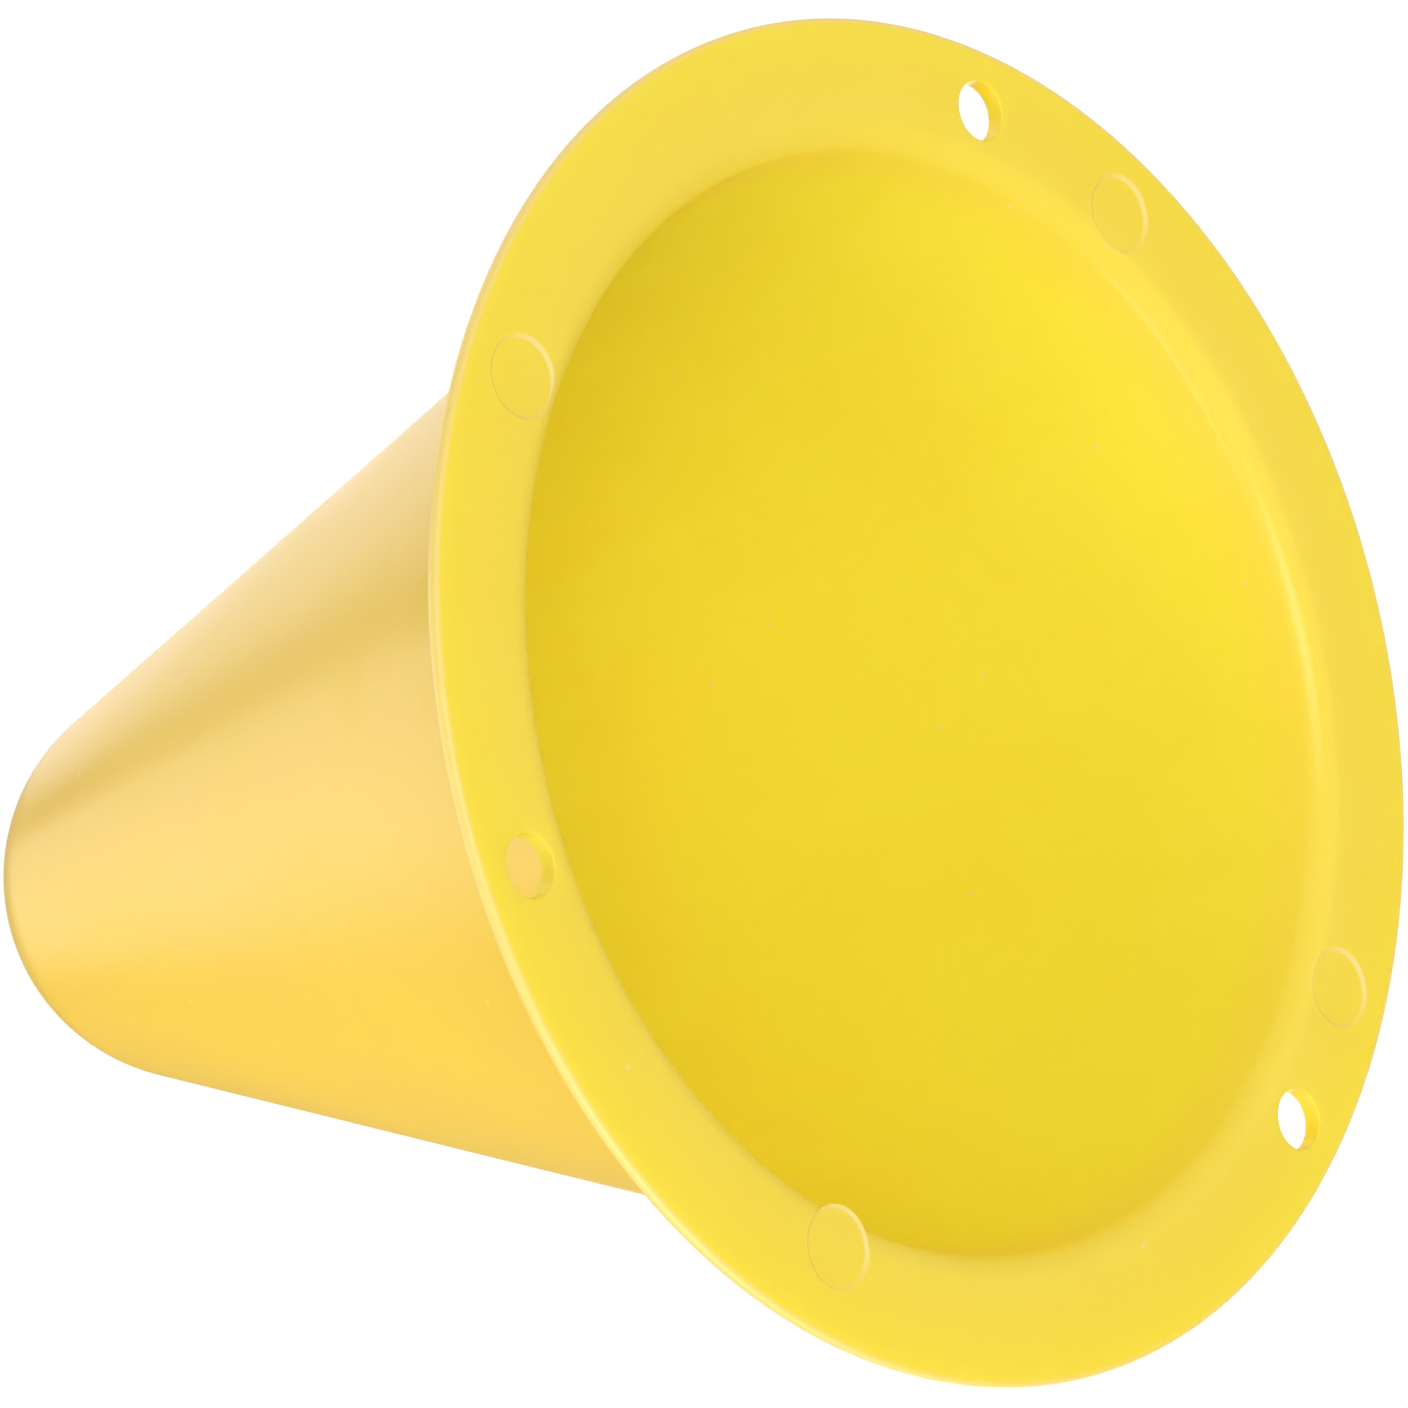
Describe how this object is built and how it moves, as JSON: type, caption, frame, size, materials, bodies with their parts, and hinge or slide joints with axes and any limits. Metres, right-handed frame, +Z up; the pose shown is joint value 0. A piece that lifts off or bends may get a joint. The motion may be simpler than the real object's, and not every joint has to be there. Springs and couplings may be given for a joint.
{
  "type": "wasp trap cone",
  "caption": "Thin translucent yellow plastic cone with a closed round nose and, around its open mouth, a flat flange with small screw holes.",
  "frame": {"origin": "centre of the circle of flange holes, on the flange's mouth-side face", "axes": "+Y along the cone's axis towards its nose, so the mouth faces -Y; +Z up through one flange hole; +X to the right seen from the mouth side"},
  "size_m": [0.075, 0.0735, 0.075],
  "materials": {
    "yellow_plastic": "thin translucent yellow polyethylene or polypropylene, satin to gloss as moulded"
  },
  "bodies": {
    "root": {"cone": "yellow_plastic"}
  },
  "joints": []
}
